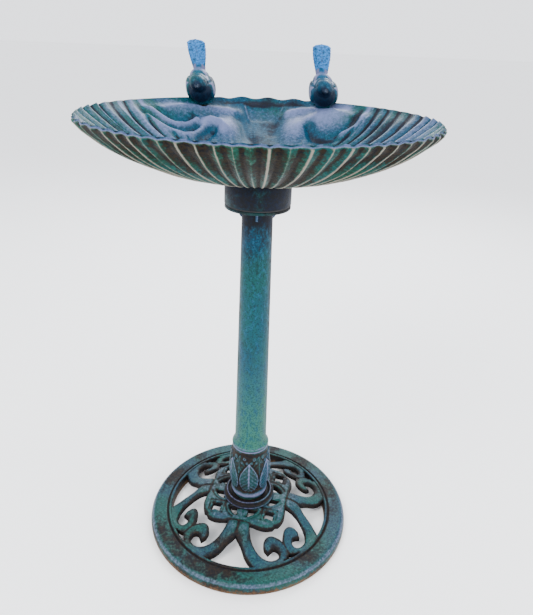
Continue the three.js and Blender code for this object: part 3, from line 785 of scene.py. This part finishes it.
def make_bird(side, x, lean):
    """A wren that leans over the bowl with its tail cocked, on its perch at x. It is shaped with its
    foot at the origin, facing -Y. lean is how far it tips sideways at 60 mm up."""
    parts = []

    def blob(centre, radii, tilt=0.0, yaw=0.0):
        bpy.ops.mesh.primitive_ico_sphere_add(subdivisions=5, radius=1)
        item = bpy.context.object
        item.data.transform(Matrix.Translation(Vector(centre)) @ Matrix.Rotation(math.radians(yaw), 4, "Z")
                            @ Matrix.Rotation(math.radians(tilt), 4, "X") @ Matrix.Diagonal((*radii, 1)))
        parts.append(item)

    blob((0, 2, 26), (23.5, 30, 22), 14)
    blob((0, 16, 39), (18, 20, 18), 20)
    blob((0, -20, 34), (14.5, 15, 14.5))
    blob((0, -9, 36), (16, 17, 15))
    blob((-17.6, 9, 27), (7, 26, 17), 14, -4)
    blob((17.6, 9, 27), (7, 26, 17), 14, 4)
    blob((0, 5, 8), (13.5, 15, 12))
    for k in range(12):
        blob((0, -30 - 1.35 * k, 32.6 - 0.22 * k), (6.4 - 0.42 * k, 4, 5.4 - 0.34 * k))
    for k in range(16):
        t = k / 15
        blob((0, 30.5 - 2.6 * t, 44 + 50.5 * t), (10.5 + 5.2 * smoothstep(t, 0.1, 0.85), 3.1, 6.3))
    bpy.ops.object.select_all(action="DESELECT")
    for item in parts:
        item.select_set(True)
    bpy.context.view_layer.objects.active = parts[0]
    bpy.ops.object.join()
    clay = bpy.context.object
    remesh = clay.modifiers.new("skin", "REMESH")
    remesh.mode = "VOXEL"
    remesh.voxel_size = 0.85
    smooth = clay.modifiers.new("soften", "SMOOTH")
    smooth.iterations = 4
    graph = bpy.context.evaluated_depsgraph_get()
    skin = bpy.data.meshes.new_from_object(clay.evaluated_get(graph))
    flat = np.empty(3 * len(skin.vertices), np.float32)
    skin.vertices.foreach_get("co", flat)
    p = flat.reshape(-1, 3).astype(float)
    faces = [tuple(f.vertices) for f in skin.polygons]
    bpy.data.objects.remove(clay)
    px, py, pz = p.T
    # wing edges, feather rows, eyes and tail barring, all pressed in or raised along the surface
    away = np.abs(px)
    tail = smoothstep(pz, 60, 66)
    body = 1 - tail
    on_side = smoothstep(away, 14.5, 18) * body * smoothstep(pz, 10, 16)
    seam = np.exp(-((pz - (41.5 + 0.3 * (py - 5))) / 1.5) ** 2) * smoothstep(away, 10, 14) * (py > -16) * body
    rows = 0.5 + 0.5 * np.cos(2 * math.pi * (py * 0.92 + 0.55 * pz) / 5.6)
    feathers = on_side * rows * smoothstep(py, -12, 2)
    eye = sum(np.exp(-((px - s * 11.4) ** 2 + (py + 25) ** 2 + (pz - 38.5) ** 2) / 5.5) for s in (-1, 1))
    bars = tail * (0.5 + 0.5 * np.cos(2 * math.pi * (pz - 0.25 * away) / 4.6))
    quill = tail * np.exp(-(away / 1.3) ** 2)
    # painted shade: darker on the lower front of the breast and over the face and beak, where head and body
    # shade them
    breast_shade = smoothstep(-py, 8, 20) * (1 - smoothstep(pz, 26, 40))
    beak_shade = smoothstep(-py, 32, 37)
    # painted highlight: a pale band along the outline of back and wings, on the shoulders and over the rump,
    # standing in for reflections of the bright room at grazing angles
    outline = np.exp(-((away - 8.5 - 0.44 * (57 - pz)) / 2.4) ** 2) * smoothstep(pz, 24, 34)
    outline = outline * (py > -12) * body
    shoulder_highlight = smoothstep(away, 16, 19.5) * np.exp(-((py + 9) / 8) ** 2) * smoothstep(pz, 12, 20) * body
    rump_highlight = np.exp(-((pz - 56) / 4) ** 2) * body
    tone = 0.48 - 0.55 * seam + 0.1 * (feathers - 0.4 * on_side) - 0.7 * eye + 0.08 * (bars - 0.5 * tail)
    tone += 0.1 * quill + 0.42 * outline + 0.1 * tail + 0.42 * shoulder_highlight + 0.3 * rump_highlight
    tone -= 0.34 * breast_shade + 0.4 * beak_shade
    piece = mesh_piece("wren_" + side, p, faces, 80)
    out = normals(piece)
    p = p + out * (-0.9 * seam + 0.45 * feathers + 0.35 * bars + 0.5 * quill - 0.9 * eye)[:, None]
    # the lean grows with height, so that the foot stays on its perch
    p[:, 0] += lean * smoothstep(p[:, 2], 4, 60) * p[:, 2] / 60
    move_points(piece, p + (x, PERCH_Y, PERCH_TOP))
    paint(piece, "pale", tail + 0.35 * smoothstep(pz, 46, 60))
    settle(piece, "bird", "bowl", "bird_" + side, slot="bird_patina", relief=tone)


# ------------------------------------------------------------------ bowl
FLUTES = 64
FLUTE_STEPS = 16
FLUTE_CROWDING = 0.24
FLUTE_DEPTH = 3.2
FLUTE_BEND = 0.09
RIM_R = 247.4
SHELL_T = 5.5
RIM_TONE = 0.74
BELLY = [(52, 649.5), (98, 656), (136, 665.5), (165, 677), (190, 688.5), (211, 700.5), (230, 714),
         (241, 722.5), (RIM_R, 730)]
ROW_RADII = {
    "under": np.concatenate([[12, 30, 52], np.linspace(64, 240, 23), [246.2, RIM_R]]),
    "inside": np.concatenate([[12, 30, 52], np.linspace(66, 102, 4), np.linspace(108, 243, 50),
                              [246.2, RIM_R]]),
}
# The smooth part inside the bowl, in plan: height, half width and line of each crest (positive) and crease.
LOBE_LINES = [
    (6, 9, [(-166, 160), (-149, 179), (-127, 192), (-98, 203), (-68, 208), (-44, 209)]),
    (9, 7, [(-196, 142), (-183, 136), (-168, 134), (-152, 129), (-137, 133), (-121, 147), (-111, 162)]),
    (8, 8, [(-180, 118), (-156, 110), (-134, 108), (-116, 115), (-102, 134), (-97, 162), (-87, 175),
            (-75, 170), (-65, 155)]),
    (-7, 6, [(-170, 150), (-157, 146), (-143, 145), (-134, 147), (-122, 160), (-116, 170)]),
    (-7, 7, [(-99, 115), (-91, 136), (-81, 153)]),
    (7, 9, [(40, 210), (61, 214), (86, 214), (117, 205), (140, 193)]),
    (8, 6, [(178, 172), (167, 160), (159, 145), (147, 135), (128, 128)]),
    (-7, 6, [(163, 173), (154, 164), (146, 154), (135, 142), (118, 136)]),
    (-9, 8, [(78, 168), (85, 149), (95, 136), (111, 129)]),
    (-3, 9, [(-43, 203), (-35, 182), (-28, 164), (-16, 144)]),
    (-3, 9, [(29, 217), (21, 197), (16, 169)]),
    (-6, 5, [(-200, 131), (-186, 126), (-168, 121), (-150, 118), (-133, 120), (-119, 131), (-107, 150)]),
]
# Height, centre and half widths of each swelling between those lines.
LOBE_MOUNDS = [(8, -127, 176, 34, 15), (13, -58, 166, 20, 30), (17, 98, 180, 42, 24), (9, 48, 165, 16, 34)]
# The flutes die out inside this outline, where the lobes take over.
SMOOTH_ZONE = [(-238, 176), (-214, 144), (-194, 120), (-160, 103), (-134, 99), (-112, 104), (-92, 112),
               (-50, 108), (0, 92), (55, 104), (100, 112), (128, 118), (150, 130), (170, 150), (190, 172),
               (215, 200), (215, 270), (-238, 270)]


def flute_angle(count):
    """Angle of each step round the bowl. The flutes crowd together at the front and the back."""
    even = 2 * math.pi * count / FLUTES
    angle = even.copy()
    for _ in range(20):
        angle = even + FLUTE_CROWDING / 2 * np.sin(2 * angle)
    return angle


def smoothness(x, y):
    """1 well inside the smooth zone, 0 outside it."""
    zone = np.array(SMOOTH_ZONE, float)
    away = line_distance(x, y, np.vstack([zone, zone[:1]]))
    return smoothstep(np.where(inside_polygon(x, y, zone), away, -away), -4, 8)


def fluted_rows(side):
    """Points and relief of one side of the shell, ring by ring from the middle out to the rim."""
    belly = curve(BELLY, 0.4)
    count = np.arange(FLUTES * FLUTE_STEPS) / FLUTE_STEPS
    across = np.abs((count % 1) - 0.5) * 2          # 1 on a flute's crest, 0 midway between crests
    wave = 2 * across**1.35 - 1
    angle = flute_angle(count)
    angle = angle + 0.011 * np.sin(5 * angle + 0.6) + 0.009 * np.sin(11 * angle + 2)
    from_hinge = np.abs((np.degrees(angle) - 90 + 180) % 360 - 180)
    toward_hinge = smoothstep(np.sin(angle), -0.6, 0.3)
    width = 1 + FLUTE_CROWDING * np.cos(2 * angle)
    shade = np.random.default_rng(5).uniform(0.66, 1.34, FLUTES)[np.round(count).astype(int) % FLUTES]
    outer_depth = FLUTE_DEPTH * width * (0.45 + 0.55 * smoothstep(from_hinge, 42, 50))
    rim_calm = 0.65 * smoothstep(-np.sin(angle), 0.25, 0.7) + 0.8 * smoothstep(np.sin(angle), 0.1, 0.4)

    rows, reliefs = [], []
    for radius in ROW_RADII[side]:
        bend = math.sin(math.pi * min(max((radius - 60) / (RIM_R - 60), 0), 1))
        turn = angle - FLUTE_BEND * bend * toward_hinge * np.cos(angle)
        x, y = radius * np.cos(turn), radius * np.sin(turn)
        fluted = 1 - smoothness(x, y)
        depth = FLUTE_DEPTH * width * (0.15 + 0.85 * fluted)
        flutes = outer_depth if side == "under" else depth
        near_rim = smoothstep(radius, 222, RIM_R)
        fade = smoothstep(radius, 60, 200)
        calm = 1 - smoothstep(radius, 215, RIM_R) * rim_calm
        out = (flutes * (1 - near_rim) + depth * near_rim) * fade * shade ** 0.5 * calm * wave
        run = radius + 0.72 * out
        height = np.interp(radius, belly[:, 0], belly[:, 1]) - 0.62 * out
        if radius == RIM_R:
            run = run - (0.4 if side == "under" else 2.2)
            height = height + (1.1 if side == "under" else 2.0)
        elif side == "inside":
            height = height + SHELL_T
        between_birds = (1 - smoothstep(np.abs(x), 66, 84)) * (np.sin(turn) > 0)
        height = height + 1.7 * np.sin(x / 7.4 + 0.6) * between_birds * smoothstep(radius, 232, RIM_R)
        rows.append(np.stack([run * np.cos(turn), run * np.sin(turn), height], 1))
        if radius == RIM_R:
            value = np.full(len(angle), RIM_TONE)
        elif side == "under":
            crest = np.clip((across - 0.7) / 0.3, 0, 1) ** 1.5
            hollow = np.clip(1 - across / 0.42, 0, 1)
            value = 0.42 + (0.5 * crest * shade**2 - 0.45 * hollow / shade) * fade
            value = value + 0.4 * (1 - smoothstep(radius, 110, 215)) * crest**0.6
            value = value + 0.26 * (1 - smoothstep(radius, 85, 180)) * across**1.5
        else:
            crest = np.clip(1 - across / 0.8, 0, 1) ** 0.8
            hollow = np.clip((across - 0.62) / 0.38, 0, 1)
            value = 0.5 + (0.13 * crest + 0.4 * (shade - 1) - 0.8 * hollow) * fade * fluted
        reliefs.append(value)
    return np.concatenate(rows), np.concatenate(reliefs)


def hinge_lobes(x, y):
    """How far the inside is raised at each point, and how much its relief changes."""
    ridge, groove = np.zeros(len(x)), np.zeros(len(x))
    for height, half, path in LOBE_LINES:
        bump = height * np.exp(-(line_distance(x, y, path) / half) ** 2)
        ridge, groove = np.maximum(ridge, bump), np.minimum(groove, bump)
    lift = ridge + groove
    tone = 0.034 * ridge + 0.06 * groove - 0.11 * np.exp(-(x / 26) ** 2) * smoothstep(y, 90, 140)
    for height, cx, cy, rx, ry in LOBE_MOUNDS:
        mound = np.exp(-((x - cx) / rx) ** 2 - ((y - cy) / ry) ** 2)
        lift += height * mound
        tone += 0.019 * height * mound**0.7
    # the recess between the birds: a flat panel, set in behind a ledge under the rim
    from_side = np.abs(x) - 0.33 * (y - 205)
    panel = (1 - smoothstep(from_side - 24, -1.5, 2.5)) * smoothstep(y, 196, 208) * (y > 0)
    panel = panel * (1 - smoothstep(y, 231, 234))
    # painted shade: a dark band just inside the rim between the birds, and a dark line along the ledge at the
    # back of the recess, where the rim shades them
    rim_shadow = np.exp(-((np.hypot(x, y) - 238) / 3) ** 2) * (1 - smoothstep(np.abs(x), 66, 84)) * (y > 0)
    ledge_shadow = np.exp(-((y - 233) / 2.2) ** 2) * (np.abs(x) < 36)
    frame_line = np.exp(-((from_side - 25.5) / 2.2) ** 2) * smoothstep(y, 190, 205) * (y < 234)
    lift = lift * (1 - panel) - 3 * panel + 2.5 * frame_line
    tone = tone * (1 - panel) + 0.06 * panel - 0.55 * ledge_shadow + 0.16 * frame_line - 0.42 * rim_shadow
    reach = 1 - smoothstep(np.hypot(x, y), 222, 240)
    return np.maximum(lift, -3) * reach, tone


def perch_boss(x, start, steps=48):
    """Points and faces of the post that a bird is screwed to, under the rim."""
    turn = 2 * math.pi * np.arange(steps) / steps
    profile = ((6, 706), (9, 706.6), (9, 722.8), (2.6, 723.2))
    points = np.vstack([np.column_stack([x + r * np.cos(turn), PERCH_Y + r * np.sin(turn), np.full(steps, z)])
                        for r, z in profile])
    top = start + (len(profile) - 1) * steps
    ends = [tuple(range(start + steps - 1, start - 1, -1)), tuple(range(top, top + steps))]
    return points, bands(start, len(profile), steps) + ends


def make_bowl():
    under_points, under_relief = fluted_rows("under")
    inside_points, inside_relief = fluted_rows("inside")
    around = FLUTES * FLUTE_STEPS
    under = len(under_points)
    every = under + len(inside_points)
    lift, tone = hinge_lobes(*inside_points[:-around, :2].T)
    inside_points[:-around, 2] += lift
    inside_relief[:-around] += tone
    middle = [[0, 0, BELLY[0][1]], [0, 0, BELLY[0][1] + SHELL_T]]
    points = np.vstack([under_points, inside_points, middle])
    relief = np.concatenate([under_relief, inside_relief, [0.5, 0.5]])

    faces, sides = [], []
    for side, first, last in ((0, 0, under), (1, under, every)):
        for low in range(first, last - around, around):
            high = low + around
            for i in range(around):
                j = (i + 1) % around
                quad = (low + i, high + i, high + j, low + j)
                faces.append(quad if side else quad[::-1])
                sides.append(side)
    edge, lip = under - around, every - around
    for i in range(around):
        j = (i + 1) % around
        faces.append((edge + i, edge + j, lip + j, lip + i))
        sides.append(1)
    for i in range(around):
        j = (i + 1) % around
        faces += [(every, j, i), (every + 1, under + i, under + j)]
        sides += [0, 1]
    for x in (-PERCH_X, PERCH_X):
        boss_points, boss_faces = perch_boss(x, len(points))
        points = np.vstack([points, boss_points])
        relief = np.append(relief, np.full(len(boss_points), 0.4))
        faces += boss_faces
        sides += [0] * len(boss_faces)
    bowl = mesh_piece("shell_bowl", points, faces, 60)
    bowl.data.materials.append(finishes["bowl_outside"])
    bowl.data.materials.append(finishes["bowl_inside"])
    bowl.data.polygons.foreach_set("material_index", sides)
    settle(bowl, None, "bowl", "basin", slot="shell_patina", relief=relief)


# ------------------------------------------------------------------ the whole bath
set_camera()
set_lights()
lay_floor()
make_base()
make_collar()
make_sleeve()
make_column()
make_cap()
make_gussets()
make_hub()
make_bowl()
make_hub_screws()
make_bird("left", -PERCH_X - 3.0, -7.2)
make_bird("right", PERCH_X - 2.2, -4.6)
for node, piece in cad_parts.items():
    if not piece.hide_render:
        piece.data.materials.clear()
        piece.data.materials.append(finishes["rubber" if node == "seat_ring" else "steel"])
